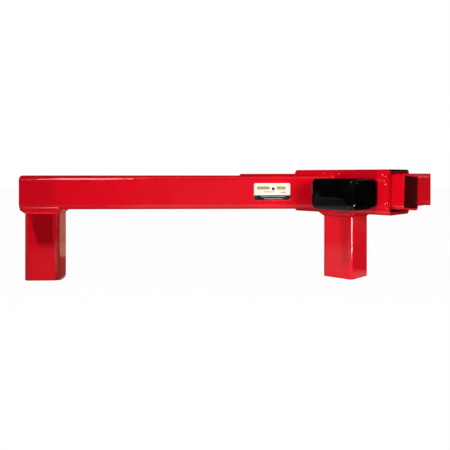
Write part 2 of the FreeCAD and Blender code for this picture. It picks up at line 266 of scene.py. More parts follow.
def red_paint(name, offset, turn=0.0, inside=None, mouth_shade=None, haze=1.0):
    """Powder coat. inside = (frame, half width, half height, near end, far end) leaves a bore in dull mill
    scale. The tuple for the sawn end, (frame, end, shade above), paints shade on it: darker, and near black
    above the given height. A larger haze softens reflections.
    """
    material, tree, shader = new_material(name)
    place = place_in_object(tree, offset)
    edges = edge_mask(tree, 0.0014)
    worn = wear(tree, place, edges, corner_mask(tree, turn))
    colour = tree.colour(tree.math("MULTIPLY", worn, 0.55), paint_colour(tree, place), rgba(RED_DEEP))
    roughness = tree.step(tree.noise(place, 25.0, 4.0), 0.3, 0.7, 0.34, 0.46)
    bare_below = tree.math("MULTIPLY", underside(tree), 0.92)
    dull = tree.math("MAXIMUM", tree.math("MULTIPLY", worn, 0.4), bare_below)
    coat = tree.math("SUBTRACT", 1.0, dull)
    if inside:
        frame_matrix, half_width, half_height, near, far = inside
        mask, along = inside_mask(tree, frame_matrix, half_width, half_height)
        tongues = tree.step(tree.noise(place, 45.0, 4.0), 0.2, 0.8, -0.012, 0.012)
        ragged = tree.math("ADD", along, tongues)
        deep = (tree.step(ragged, near, near - 0.01), tree.step(ragged, far, far + 0.01))
        depth = tree.math("MULTIPLY", *deep)
        bare = tree.math("MULTIPLY", mask, depth)
        scale = tree.colour(tree.noise(place, 85.0, 5.0), rgba(MILL_SCALE), rgba(RUST))
        colour = tree.colour(bare, colour, scale)
        coat = tree.math("MULTIPLY", coat, tree.math("SUBTRACT", 1.0, bare))
        roughness = tree.math("ADD", roughness, tree.math("MULTIPLY", bare, 0.25))
    # Painted shade on the sawn end: the end face and a thin band beside it darker, near black along the top
    # wall.
    if mouth_shade:
        colour = painted_mouth_shade(tree, colour, *mouth_shade)
    bumped = paint_bump(tree, place)
    coat_roughness = tree.step(tree.noise(place, 18.0), 0.3, 0.7, 0.035 * haze, 0.06 * haze)
    tree.feed(shader.inputs["Base Color"], colour)
    tree.feed(shader.inputs["Roughness"], roughness)
    tree.feed(shader.inputs["Specular IOR Level"], 0.03)
    tree.feed(shader.inputs["Coat Weight"], coat)
    tree.feed(shader.inputs["Coat Roughness"], coat_roughness)
    tree.feed(shader.inputs["Normal"], bumped)
    tree.feed(shader.inputs["Coat Normal"], bumped)
    return material


def paint_crown_glints(material, direction):
    """Paints highlights into the colour: pale pink glints where the surface faces one way."""
    tree = Tree(material.node_tree)
    base = material.node_tree.nodes["Principled BSDF"].inputs["Base Color"]
    normal = tree.add("TexCoord").outputs["Normal"]
    facing = tree.add("VectorMath", {0: normal, 1: direction}, operation="DOT_PRODUCT").outputs["Value"]
    painted = base.links[0].from_socket
    tree.feed(base, tree.colour(tree.step(facing, 0.62, 0.92), painted, rgba(GLINT_PINK)))


def black_plastic(name):
    """Moulded black plastic: glossy, with faint flow marks, scratches and rubbed edges."""
    material, tree, shader = new_material(name)
    place = place_in_object(tree, (3.0, 1.0, 5.0))
    streaks = tree.add("Mapping", {"Vector": place, "Scale": (60.0, 60.0, 900.0)}).outputs[0]
    scratch = tree.step(tree.noise(streaks, 3.0, 2.0), 0.66, 0.72)
    cloud = tree.step(tree.noise(place, 40.0, 4.0), 0.35, 0.7)
    tone = tree.colour(cloud, rgba((0.0010, 0.0008, 0.0006)), rgba((0.0026, 0.0022, 0.0018)))
    tone = tree.colour(tree.math("MULTIPLY", edge_mask(tree, 0.0015), 0.5), tone, rgba((0.03, 0.03, 0.03)))
    shine = tree.math("ADD", tree.step(cloud, 0.0, 1.0, 0.05, 0.09), tree.math("MULTIPLY", scratch, 0.12))
    grain = tree.bump(tree.noise(place, 900.0, 2.0), 0.00004, 0.5)
    sink = tree.bump(tree.noise(place, 22.0, 1.0), 0.0010, 0.35, grain)
    tree.feed(shader.inputs["Base Color"], tone)
    tree.feed(shader.inputs["Roughness"], shine)
    tree.feed(shader.inputs["IOR"], 1.38)
    tree.feed(shader.inputs["Normal"], sink)
    return material


def plated_steel(name, offset):
    """Zinc plate: fine crystals, faint yellow and blue tints, duller patches, bright rubbed edges."""
    material, tree, shader = new_material(name)
    place = place_in_object(tree, offset)
    crystals = tree.add("TexVoronoi", {"Vector": place, "Scale": 700.0}).outputs["Color"]
    tint = tree.step(tree.noise(place, 70.0, 4.0), 0.35, 0.65)
    tone = tree.colour(tint, rgba((0.60, 0.57, 0.50)), rgba((0.52, 0.55, 0.58)))
    tone = tree.colour(0.06, tone, crystals)
    dull = tree.step(tree.noise(place, 160.0, 5.0), 0.5, 0.7, 0.0, 0.5)
    tone = tree.colour(dull, tone, rgba((0.33, 0.32, 0.30)))
    edges = edge_mask(tree, 0.0008)
    tone = tree.colour(tree.math("MULTIPLY", edges, 0.6), tone, rgba((0.85, 0.84, 0.82)))
    roughness = tree.math("ADD", tree.step(dull, 0.0, 0.5, 0.24, 0.42), tree.math("MULTIPLY", edges, -0.08))
    tree.feed(shader.inputs["Base Color"], tone)
    tree.feed(shader.inputs["Metallic"], 1.0)
    tree.feed(shader.inputs["Roughness"], roughness)
    tree.feed(shader.inputs["Normal"], tree.bump(tree.noise(place, 800.0, 3.0), 0.00005, 0.5))
    return material


def label_vinyl(name, colour, offset):
    """Printed vinyl: paper-like grain, slight fading and a soft sheen."""
    material, tree, shader = new_material(name)
    place = place_in_object(tree, offset)
    faded = tuple(channel * 0.86 + 0.02 for channel in colour)
    fade = tree.step(tree.noise(place, 60.0, 4.0), 0.35, 0.7)
    tone = tree.colour(fade, rgba(colour), rgba(faded))
    grime = tree.math("MULTIPLY", edge_mask(tree, 0.0006), 0.25)
    tone = tree.colour(grime, tone, rgba((0.25, 0.12, 0.10)))
    tree.feed(shader.inputs["Base Color"], tone)
    tree.feed(shader.inputs["Roughness"], tree.step(tree.noise(place, 300.0, 3.0), 0.3, 0.7, 0.28, 0.42))
    tree.feed(shader.inputs["Normal"], tree.bump(tree.noise(place, 600.0, 2.0), 0.00003, 0.5))
    return material


# ---------------------------------------------------------------- mesh helpers


def new_piece(name, mesh_maker, material, body, slot, *replaced, smooth=True):
    """Adds a piece built by mesh_maker(bmesh), in row-frame metres, that rides on a body."""
    shape = bmesh.new()
    mesh_maker(shape)
    bmesh.ops.recalc_face_normals(shape, faces=shape.faces)
    mesh = bpy.data.meshes.new(name)
    shape.to_mesh(mesh)
    shape.free()
    mesh.materials.append(material)
    for face in mesh.polygons:
        face.use_smooth = smooth
    piece = bpy.data.objects.new(name, mesh)
    bpy.context.scene.collection.objects.link(piece)
    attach(piece, body)
    if replaced:
        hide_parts(*replaced)
    return piece


def join_loops(shape, loops):
    """Skins a list of closed loops of points, one to the next."""
    rows = [[shape.verts.new(point) for point in loop] for loop in loops]
    for row, following in zip(rows, rows[1:]):
        count = len(row)
        for place in range(count):
            after = (place + 1) % count
            shape.faces.new((row[place], row[after], following[after], following[place]))
    return rows


def rounded_rectangle(low_x, high_x, low_y, high_y, radius, per_side, per_corner, low_radius=None):
    """Points round a rectangle with rounded corners, with the same count whatever its size. low_radius is
    for the lower two corners.
    """
    low_radius = radius if low_radius is None else low_radius
    corners = (
        (high_x - radius, high_y - radius, radius, 0),
        (low_x + radius, high_y - radius, radius, 90),
        (low_x + low_radius, low_y + low_radius, low_radius, 180),
        (high_x - low_radius, low_y + low_radius, low_radius, 270),
    )
    arcs = []
    for centre_x, centre_y, corner_radius, start in corners:
        arc = []
        for step in range(per_corner + 1):
            angle = math.radians(start + 90 * step / per_corner)
            x = centre_x + corner_radius * math.cos(angle)
            y = centre_y + corner_radius * math.sin(angle)
            arc.append(Vector((x, y, 0)))
        arcs.append(arc)
    points = []
    for place, arc in enumerate(arcs):
        following = arcs[(place + 1) % 4][0]
        points += arc
        points += [arc[-1].lerp(following, step / per_side) for step in range(1, per_side)]
    return points


def run_lengths(loop):
    """Distance along a closed loop at each of its points."""
    total = 0.0
    lengths = [0.0]
    for point, following in zip(loop, loop[1:]):
        total += (following - point).length
        lengths.append(total)
    return lengths


def ripple(distance, across, pitch):
    """Height, 0 to 1, of a hand-laid weld's ripples: overlapping crescents."""
    phase = distance / pitch + 0.30 * (2 * across - 1) ** 2
    share = phase - math.floor(phase)
    return math.sqrt(max(0.0, 1 - share**2)) if share < 0.94 else 0.34 + (share - 0.94) * 11


def wander(distance, seed):
    """Slow change of bead size along a weld, about -1 to 1."""
    return 0.6 * math.sin(distance / 17.0 + seed) + 0.4 * math.sin(distance / 7.3 + 2.1 * seed)


def to_scene(shape, place):
    """Scales a shape from millimetres to metres and puts it in its place."""
    bmesh.ops.scale(shape, vec=(MM, MM, MM), verts=shape.verts)
    bmesh.ops.transform(shape, matrix=place, verts=shape.verts)


WELD_SLOT = "red_paint"

SKIRT_TOE = 0.6
SKIRT_SINK = 1.0
SKIRT_DROP = 8.5
SKIRT_LEVELS = 9
SKIRT_TOP_RADIUS = 8.0
SKIRT_PITCH = 4.2
SKIRT_SHOULDER = ((0.3, 0.45), (1.2, 0.85), (2.6, 1.0), (9.0, 1.0))
PER_SIDE, PER_CORNER = 84, 18


def tube_outline(low_x, high_x, half_y, radius):
    return rounded_rectangle(low_x, high_x, -half_y, half_y, radius, PER_SIDE, PER_CORNER)


def skirt_weld(name, place, left, right, side, rise, node, seed, corner):
    """Rippled fillet weld round the top of a leg, in millimetres in the frame given by place. It spreads
    by left, right and side from a leg whose corners have the radius corner, and its shoulder rises above.
    """
    toe = HALF_TUBE + SKIRT_TOE
    inner = HALF_TUBE - SKIRT_SINK
    top_low_x, top_high_x, top_reach = -HALF_TUBE - left, HALF_TUBE + right, HALF_TUBE + side

    def skin_loop(share, lengths):
        """One loop of the rippled skin. share is 0 at the toe on the leg and 1 at the top."""
        low_x = -toe + (top_low_x + toe) * share
        high_x = toe + (top_high_x - toe) * share
        reach = toe + (top_reach - toe) * share
        loop = tube_outline(low_x, high_x, reach, corner + (SKIRT_TOP_RADIUS - corner) * share)
        sink = Vector((0, 0, -SKIRT_DROP * (1 - share)))
        row = []
        for point, distance in zip(loop, lengths):
            height = ripple(distance, share, SKIRT_PITCH) * 0.55 + wander(distance, seed) * 0.25
            swell = height * math.sin(math.pi * share) * 0.6
            row.append(point + (point.normalized() + Vector((0, 0, -1))) * swell + sink)
        return row

    def make(shape):
        lengths = run_lengths(tube_outline(-toe, toe, toe, corner))
        foot = Vector((0, 0, -SKIRT_DROP))
        loops = [[point + foot for point in tube_outline(-inner, inner, inner, corner)]]
        loops += [skin_loop(level / SKIRT_LEVELS, lengths) for level in range(SKIRT_LEVELS + 1)]
        for inset, share in SKIRT_SHOULDER:
            loop = tube_outline(top_low_x + inset, top_high_x - inset, top_reach - inset, SKIRT_TOP_RADIUS)
            loops.append([point + Vector((0, 0, share * rise)) for point in loop])
        rows = join_loops(shape, loops)
        shape.faces.new(rows[0])
        shape.faces.new(rows[-1])
        to_scene(shape, place)

    return new_piece(name, make, PAINT_WELD, "frame", WELD_SLOT, node)


BEAD_RADIUS = 5.0
BEAD_PITCH = 3.8
BEAD_SIDES = 14


def ring_weld(name, place, outline, node, seed, high_x=math.inf):
    """Rippled bead round an outline in the XY plane, cut flat at high_x. Z is out of the face it lies on.
    Millimetres.
    """

    def bead_ring(point, along, distance):
        """The bead's section at a point of the outline."""
        outward = Vector((along.y, -along.x, 0))
        row = []
        for step in range(BEAD_SIDES):
            turn = 2 * math.pi * step / BEAD_SIDES
            crown = ripple(distance, 0.5 + 0.5 * math.sin(turn), BEAD_PITCH)
            size = BEAD_RADIUS * (0.90 + 0.09 * crown + 0.03 * wander(distance, seed))
            moved = point + outward * (math.cos(turn) * size) + Vector((0, 0, math.sin(turn) * size))
            moved.x = min(moved.x, high_x)
            row.append(moved)
        return row

    def make(shape):
        rows = []
        for index, (point, distance) in enumerate(zip(outline, run_lengths(outline))):
            before, after = outline[index - 1], outline[(index + 1) % len(outline)]
            rows.append(bead_ring(point, (after - before).normalized(), distance))
        join_loops(shape, rows + [rows[0]])
        bmesh.ops.remove_doubles(shape, verts=shape.verts, dist=0.001)
        to_scene(shape, place)

    return new_piece(name, make, PAINT_BEAD, "frame", WELD_SLOT, node)


# ---------------------------------------------------------------- materials on the CAD nodes

# Where each bore turns bare, and where the sleeve's sawn mouth is, in metres along the sleeve's axis, with
# the height above which shade is painted near black on the mouth
SLEEVE_BORE = (SLEEVE_FRAME, 0.0440, 0.0440, 0.112, -0.109)
SLEEVE_MOUTH_SHADE = (SLEEVE_FRAME, 0.140, 0.0445)
SLIDER_BORE = (SLEEVE_FRAME @ Matrix.Rotation(SLIDER_ROLL, 4, "X"), 0.0338, 0.0338, 0.176, -0.301)

PAINT_BEAM = red_paint("paint_beam", (0.0, 0.0, 0.0))
PAINT_LEFT = red_paint("paint_left_leg", (1.3, 0.4, 0.2))
PAINT_RIGHT = red_paint("paint_right_leg", (2.1, 5.4, 1.2), SLEEVE_TURN)
PAINT_SLEEVE = red_paint("paint_sleeve", (4.1, 2.2, 3.0), SLEEVE_TURN, SLEEVE_BORE, SLEEVE_MOUTH_SHADE)
PAINT_SLIDER = red_paint("paint_slider", (7.3, 1.1, 2.4), SLEEVE_TURN, SLIDER_BORE)
PAINT_REAR = red_paint("paint_rear_stub", (0.7, 6.1, 4.9), SLEEVE_TURN)
PAINT_WELD = red_paint("paint_weld", (5.5, 3.8, 0.6), SLEEVE_TURN, haze=3.0)
PAINT_BEAD = red_paint("paint_bead", (1.5, 4.8, 2.6), SLEEVE_TURN, haze=0.8)
# The spatter's paint carries painted highlights: pale pink glints on the crowns that face front, left and up.
PAINT_SPATTER_GLINTS = red_paint("paint_spatter_glints", (6.5, 2.8, 1.6), SLEEVE_TURN)
paint_crown_glints(PAINT_SPATTER_GLINTS, Vector((-0.55, -0.75, 0.37)).normalized())
BLACK = black_plastic("black_plastic")
STEEL = plated_steel("zinc_plate", (0.0, 3.0, 1.0))
CREAM = label_vinyl("label_cream", (0.88, 0.84, 0.74), (0, 0, 0))

FINISH = {
    "main_beam": PAINT_BEAM,
    "beam_end_plate": PAINT_BEAM,
    "left_leg": PAINT_LEFT,
    "right_leg": PAINT_RIGHT,
    "sleeve_tube": PAINT_SLEEVE,
    "slider_tube": PAINT_SLIDER,
    "front_stub_tube": PAINT_REAR,
    "bumper_cap": BLACK,
    "rear_stub_tube": PAINT_REAR,
    "rear_stub_end_plate": PAINT_REAR,
    "lock_nut": STEEL,
    "lock_pad": STEEL,
    "lock_screw": STEEL,
    "lock_handle_bar": STEEL,
    "label_plate": CREAM,
}
for node_name, node_object in NODES.items():
    node_object.data.materials.clear()
    node_object.data.materials.append(FINISH.get(node_name, PAINT_WELD))

# ---------------------------------------------------------------- welds

LEFT_LEG_TOP = Matrix.Translation((middle("left_leg").x, 0, 0))
RIGHT_LEG_TOP = SLEEVE_FRAME @ Matrix.Translation((RIGHT_LEG_OFFSET * MM, 0, -HALF_SLEEVE * MM))
# After the place: spread to the left, right and sides, and the shoulder's rise
skirt_weld("weld_left_leg", LEFT_LEG_TOP, 11.0, 8.5, 1.2, 7.0, "left_leg_weld", 0.4, TUBE_RADIUS)
skirt_weld("weld_right_leg", RIGHT_LEG_TOP, 8.5, 8.5, 8.5, 3.5, "right_leg_weld", 2.2, RIGHT_LEG_RADIUS)

# The sleeve's two upright faces: X along the sleeve, Z out of the face
SIDE_ON = Matrix.Rotation(math.radians(90), 4, "X")
FRONT_FACE = SLEEVE_FRAME @ Matrix.Translation((0, -HALF_SLEEVE * MM, 0)) @ SIDE_ON
REAR_FACE = SLEEVE_FRAME @ Matrix.Translation((0, HALF_SLEEVE * MM, 0)) @ SIDE_ON.inverted()
SLEEVE_END = 140.0
REAR_STUB_DROP = 2.3


def mitre_outline():
    """The beam's outline where it meets the sleeve's front face."""
    square = rounded_rectangle(
        -HALF_TUBE, HALF_TUBE, 0, 2 * HALF_TUBE, TUBE_RADIUS, per_side=110, per_corner=22
    )
    centre_height = SLEEVE_CENTRE.z / MM
    stretch = math.sqrt(2)
    return [Vector((-HALF_SLEEVE - stretch * p.x, p.y - centre_height, 0)) for p in reversed(square)]


def rear_outline():
    """The rear stub's outline on the sleeve's rear face, where Y is down."""
    low_x = SLEEVE_END - 2 * HALF_TUBE
    low_y, high_y = -HALF_TUBE - REAR_STUB_DROP, HALF_TUBE - REAR_STUB_DROP
    return rounded_rectangle(low_x, SLEEVE_END, low_y, high_y, TUBE_RADIUS, PER_SIDE, PER_CORNER)


ring_weld("weld_beam_to_sleeve", FRONT_FACE, mitre_outline(), "beam_to_sleeve_weld", 1.1)
ring_weld("weld_rear_stub", REAR_FACE, rear_outline(), "rear_stub_weld", 3.7, SLEEVE_END - 0.2)

# Spatter left by the welder on the sleeve's front face: along the sleeve, up, radius, in millimetres
SPATTER = (
    (125, 37, 1.6),
    (131, 34, 1.0),
    (129, 24, 1.1),
    (131, 17, 2.0),
    (119, 26, 0.8),
    (131, -24, 1.7),
    (135, -22, 1.2),
    (136, -35, 1.1),
    (-86, 33, 1.4),
    (-20, 41, 1.0),
    (20, 40, 1.3),
)


def make_spatter(shape):
    """Flattened, slightly lumpy beads."""
    for along, up, radius in SPATTER:
        place = FRONT_FACE @ Matrix.Translation((along * MM, up * MM, 0)) @ Matrix.Scale(0.7, 4, (0, 0, 1))
        bmesh.ops.create_icosphere(shape, subdivisions=3, radius=radius * MM, matrix=place)
    for vertex in shape.verts:
        vertex.co += vertex.co.normalized() * (RANDOM.uniform(-0.06, 0.06) * MM)


new_piece("weld_spatter", make_spatter, PAINT_SPATTER_GLINTS, "frame", WELD_SLOT)

# ---------------------------------------------------------------- bumper cap

CAP_WIDTH, CAP_DEPTH, CAP_HEIGHT = 104.0, 102.9, 66.0
CAP_NOSE_RADIUS = 11.0
CAP_LOWER_RADIUS = 14.0
CAP_MOUTH_RADIUS = 4.0
CAP_LIP = 13.0
CAP_STANDOFF = 1.0
CAP_CROWN = 1.4
CAP_CROWN_REACH = 21.5
CAP_BULGE = 0.5
CAP_ALONG = 62.5
CAP_DROP = 3.2
MOUTH_STEPS, WALL_STEPS, NOSE_STEPS, CROWN_STEPS = 6, 15, 10, 11
CAP_PLACE = SLEEVE_FRAME @ Matrix.Translation((CAP_ALONG * MM, -HALF_SLEEVE * MM, -CAP_DROP * MM)) @ SIDE_ON


def cap_ring(inset, depth, swell=0.0):
    """One ring of the cap's skin: inset from its sides, at a depth from the sleeve's face."""
    half_width = CAP_WIDTH / 2 - inset + swell
    half_high = CAP_HEIGHT / 2 - inset + swell
    upper = max(CAP_NOSE_RADIUS - inset, 0.6)
    lower = max(CAP_LOWER_RADIUS - inset, 0.8)
    ring = rounded_rectangle(
        -half_width, half_width, -half_high, half_high, upper, per_side=16, per_corner=10, low_radius=lower
    )
    return [point + Vector((0, 0, depth)) for point in ring]


def mouth_rings():
    """The rounded rim against the sleeve, from the lip inside it outwards."""
    rings = [cap_ring(CAP_LIP, CAP_STANDOFF), cap_ring(CAP_MOUTH_RADIUS, CAP_STANDOFF)]
    for step in range(1, MOUTH_STEPS + 1):
        angle = math.radians(90 * step / MOUTH_STEPS)
        depth = CAP_STANDOFF + CAP_MOUTH_RADIUS * (1 - math.cos(angle))
        rings.append(cap_ring(CAP_MOUTH_RADIUS * (1 - math.sin(angle)), depth))
    return rings


def wall_rings(nose_start):
    """The side walls, which bulge a little."""
    start = CAP_STANDOFF + CAP_MOUTH_RADIUS
    shares = [step / WALL_STEPS for step in range(1, WALL_STEPS)]
    return [cap_ring(0, start + (nose_start - start) * t, CAP_BULGE * math.sin(math.pi * t)) for t in shares]


def nose_rings(nose_start):
    """The rounded front edge and the slightly crowned front face."""
    rings = []
    for step in range(NOSE_STEPS + 1):
        angle = math.radians(90 * step / NOSE_STEPS)
        depth = nose_start + CAP_NOSE_RADIUS * math.sin(angle)
        rings.append(cap_ring(CAP_NOSE_RADIUS * (1 - math.cos(angle)), depth))
    for step in range(1, CROWN_STEPS + 1):
        share = step / CROWN_STEPS
        depth = CAP_STANDOFF + CAP_DEPTH + CAP_CROWN * (1 - (1 - share) ** 2)
        rings.append(cap_ring(CAP_NOSE_RADIUS + CAP_CROWN_REACH * share, depth))
    return rings


def make_cap(shape):
    nose_start = CAP_STANDOFF + CAP_DEPTH - CAP_NOSE_RADIUS
    rows = join_loops(shape, mouth_rings() + wall_rings(nose_start) + nose_rings(nose_start))
    shape.faces.new(rows[-1])
    to_scene(shape, CAP_PLACE)


new_piece("bumper_cap_moulded", make_cap, BLACK, "frame", "black_cap", "bumper_cap")

# ---------------------------------------------------------------- label

LABEL_FACE_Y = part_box("label_plate")[0].y / MM
PRINT_THICKNESS = 0.06
PRINT_SINK = 0.01


def block(shape, layer, low_x, high_x, low_z, high_z, radius, low_radius=None):
    """A thin printed block on the label's face, or on the layer of print below it. Millimetres."""
    outline = rounded_rectangle(
        low_x, high_x, low_z, high_z, radius, per_side=2, per_corner=6, low_radius=low_radius
    )
    back_y = LABEL_FACE_Y - PRINT_THICKNESS * (layer - 1) + PRINT_SINK
    front_y = LABEL_FACE_Y - PRINT_THICKNESS * layer
    loops = [[(point.x, y, point.y) for point in outline] for y in (back_y, front_y)]
    back, front = join_loops(shape, loops)
    shape.faces.new(front)
    shape.faces.new(back)


def print_blocks(name, colour, layer, *blocks):
    """Blocks of one colour. Each is low x, high x, low z, high z, corner radius and lower corner radius."""

    def make(shape):
        for values in blocks:
            block(shape, layer, *values)
        bmesh.ops.scale(shape, vec=(MM, MM, MM), verts=shape.verts)

    material = label_vinyl(name, colour, (len(blocks), 0.3, 0.9))
    new_piece(name, make, material, "frame", "label", smooth=False)


print_blocks("label_strip", (0.004, 0.004, 0.005), 1, (136.6, 218.4, 20.35, 31.6, 0.3, 3.9))
print_blocks("label_bars", (0.42, 0.32, 0.09), 1, (143, 172, 44.5, 51.5, 1.2), (188, 208, 44.5, 51.5, 1.2))
print_blocks("label_dot", (0.03, 0.02, 0.02), 1, (176.4, 183.6, 42.4, 49.6, 3.5))
print_blocks("label_rule", (0.50, 0.09, 0.07), 1, (159, 181, 38.2, 39.8, 0.5), (197, 208, 37.4, 39.0, 0.5))
print_blocks("label_lines", (0.30, 0.30, 0.30), 2, (152, 206, 27.7, 29.3, 0.4), (159, 200, 22.7, 24.5, 0.4))

# ---------------------------------------------------------------- stage


FLOOR_REACH = 9
LIT_FLOOR_FRONT = 0.575
LIT_FLOOR_LEFT = 0.65
LIT_FLOOR_RADIUS = 3.4
PALE_SHARE = 0.06
BLACK_CARD_GAP = 0.0012

# The slanted shade on the left leg: its left line starts at X = -LEG_SHADE_LEFT, LEG_SHADE_DROP below the
# beam, and moves right by LEG_SHADE_SLOPE for each metre down
LEG_SHADE_DROP = 0.0077
LEG_SHADE_SLOPE = 0.292
LEG_SHADE_LEFT = 0.3665


def new_panel(name, material, corners, *hidden_from):
    """A flat four-sided panel of the stage that some kinds of ray don't see."""
    mesh = bpy.data.meshes.new(name)
    mesh.from_pydata(corners, [], [(0, 1, 2, 3)])
    mesh.materials.append(material)
    panel = bpy.data.objects.new(name, mesh)
    bpy.context.scene.collection.objects.link(panel)
    for ray in hidden_from:
        setattr(panel, "visible_" + ray, False)
    return panel


def bare_material(name):
    """A material whose tree is empty but for its output. Also gives the output's surface socket."""
    material = bpy.data.materials.new(name)
    material.use_nodes = True
    tree = Tree(material.node_tree)
    tree.tree.nodes.clear()
    return material, tree, tree.add("OutputMaterial").inputs["Surface"]


def card(name, centre, aim, width, height, strength, off_axis=1.0):
    """A glowing panel that only reflections see. off_axis is the share of its light that goes sideways."""
    material, tree, surface = bare_material(name)
    geometry = tree.add("NewGeometry").outputs
    towards = {0: geometry["Normal"], 1: geometry["Incoming"]}
    facing = tree.add("VectorMath", towards, operation="DOT_PRODUCT").outputs["Value"]
    sideways = tree.step(tree.math("ABSOLUTE", facing), 0.80, 0.90, off_axis, 1.0)
    glow = {"Strength": tree.math("MULTIPLY", sideways, strength)}
    tree.feed(surface, tree.add("Emission", glow).outputs[0])
    w, h = width / 2, height / 2
    corners = [(-w, -h, 0), (w, -h, 0), (w, h, 0), (-w, h, 0)]
    panel = new_panel(name, material, corners, "camera", "diffuse", "shadow")
    panel.location = centre
    panel.rotation_euler = (Vector(aim) - Vector(centre)).to_track_quat("Z", "Y").to_euler()


def black_card(name, low, high):
    """A panel on the sleeve's front face that keeps its colour out of the cap's reflections, and is clear
    from behind. low and high are its corners along and up the sleeve, in metres.
    """
    material, tree, surface = bare_material(name)
    behind = tree.add("NewGeometry").outputs["Backfacing"]
    dark = tree.add("Emission", {"Color": rgba((0, 0, 0))}).outputs[0]
    clear = tree.add("BsdfTransparent").outputs[0]
    tree.feed(surface, tree.add("MixShader", {0: behind, 1: dark, 2: clear}).outputs[0])
    flat = ((low[0], low[1]), (high[0], low[1]), (high[0], high[1]), (low[0], high[1]))
    corners = [FRONT_FACE @ Vector((x, z, BLACK_CARD_GAP)) for x, z in flat]
    new_panel(name, material, corners, "camera", "diffuse", "shadow")


def soft_light(name, centre, aim, size, power, spread):
    """A large area light that lights surfaces but isn't seen in reflections."""
    data = bpy.data.lights.new(name, "AREA")
    data.shape = "DISK"
    data.size = size
    data.energy = power
    data.spread = math.radians(spread)
    light = bpy.data.objects.new(name, data)
    light.location = centre
    light.rotation_euler = (Vector(aim) - Vector(centre)).to_track_quat("-Z", "Y").to_euler()
    light.visible_glossy = False
    light.visible_camera = False
    bpy.context.scene.collection.objects.link(light)


def both(tree, first, second):
    """1 only where both masks are."""
    return tree.math("MULTIPLY", first, second)


def between(tree, value, low, full_low, full_high, high):
    """A soft-edged band: 0 outside low to high, 1 from full_low to full_high."""
    return both(tree, tree.step(value, low, full_low), tree.step(value, high, full_high))


def studio_tone(tree, direction):
    """Brightness of the far studio along a direction: dark, apart from a soft patch ahead of the object,
    a ceiling in front of it and a glow in the two rear corners.
    """
    x, y, z = tree.split(direction)
    ahead = both(tree, tree.step(x, -0.26, 0.05, 0.0, 0.16), tree.step(x, 0.17, 0.07))
    ahead = both(tree, ahead, tree.step(y, -0.2, -0.6))
    ahead = both(tree, ahead, tree.step(z, 0.5, 0.2))
    ceiling = both(tree, tree.step(z, 0.74, 0.84), tree.step(y, 0.08, -0.12))
    ceiling = both(tree, ceiling, tree.step(x, -0.22, -0.12, 0.08, 0.40))
    sides = tree.math("ADD", tree.step(x, -0.42, -0.60, 0.0, 0.5), tree.step(x, 0.42, 0.60, 0.0, 0.15))
    corners = both(tree, sides, tree.step(y, 0.40, 0.55))
    corners = both(tree, corners, between(tree, z, 0.02, 0.12, 0.50, 0.75))
    return tree.math("ADD", tree.math("ADD", ahead, ceiling), corners)


def front_floor_tone(tree, x, y):
    """Brightness, in reflections, of the floor in front of the beam."""
    tone = tree.step(x, -0.28, -0.12, 0.15, 0.46)
    between_legs = between(tree, x, -0.25, -0.12, 0.20, 0.30)
    patch = both(tree, between_legs, between(tree, y, -0.46, -0.40, -0.26, -0.20))
    near = both(tree, between_legs, tree.step(y, -0.30, -0.22, 0.0, 0.15))
    tone = tree.math("ADD", tone, tree.math("MULTIPLY", patch, 0.42))
    tone = tree.math("ADD", tree.math("ADD", tone, near), tree.step(x, -0.7, -1.2, 0.0, 0.17))
    return both(tree, tone, tree.math("ADD", tree.step(x, 0.50, 0.42), tree.step(x, 1.2, 1.8)))


def rear_floor_tone(tree, x, y):
    """Brightness, in reflections, of the floor behind the beam, with a darker seam across it."""
    tone = both(tree, tree.step(y, 0.30, 0.33, 0.07, 0.42), tree.step(x, 0.55, 0.40, 0.25, 1.0))
    seam = tree.math("MULTIPLY", between(tree, y, 0.66, 0.68, 0.72, 0.76), 0.2)
    return tree.math("SUBTRACT", tree.math("SUBTRACT", tone, seam), tree.step(y, 0.70, 0.74, 0.0, 0.09))


def floor_tone(tree, x, y):
    """Brightness of the floor near the object in reflections."""
    front = both(tree, front_floor_tone(tree, x, y), tree.step(y, 0.03, 0.0))
    rear = both(tree, rear_floor_tone(tree, x, y), tree.step(y, 0.0, 0.03))
    return tree.math("ADD", front, rear)


def lit_floor_reach(tree, x, y):
    """1 where the floor is lit: round the object, and cut off along a straight edge in front."""
    front = tree.math("ADD", y, LIT_FLOOR_FRONT)
    off_centre = tree.math("POWER", tree.math("ADD", x, LIT_FLOOR_LEFT), 2.0)
    radius = tree.math("SQRT", tree.math("ADD", off_centre, tree.math("POWER", y, 2.0)))
    within = tree.step(radius, LIT_FLOOR_RADIUS + 0.5, LIT_FLOOR_RADIUS)
    return both(tree, tree.step(front, -0.03, 0.03), within)


def flag_material(name, mask, shade):
    """Takes up to a share, shade, out of the lights' rays. mask gives that share's pattern over X and Z."""
    material, tree, surface = bare_material(name)
    x, _, z = tree.split(tree.add("NewGeometry").outputs["Position"])
    clear = tree.add("BsdfTransparent").outputs[0]
    passed = 1 - shade
    dark = tree.add("BsdfTransparent", {"Color": rgba((passed, passed, passed))}).outputs[0]
    tree.feed(surface, tree.add("MixShader", {0: mask(tree, x, z), 1: clear, 2: dark}).outputs[0])
    return material


def flag(name, left, right, low_z, high_z, mask, shade):
    """A studio flag that stands on the line from left to right. It shades the lights and isn't seen."""
    corners = [(*left, low_z), (*right, low_z), (*right, high_z), (*left, high_z)]
    new_panel(name, flag_material(name, mask, shade), corners, "camera", "diffuse", "glossy")


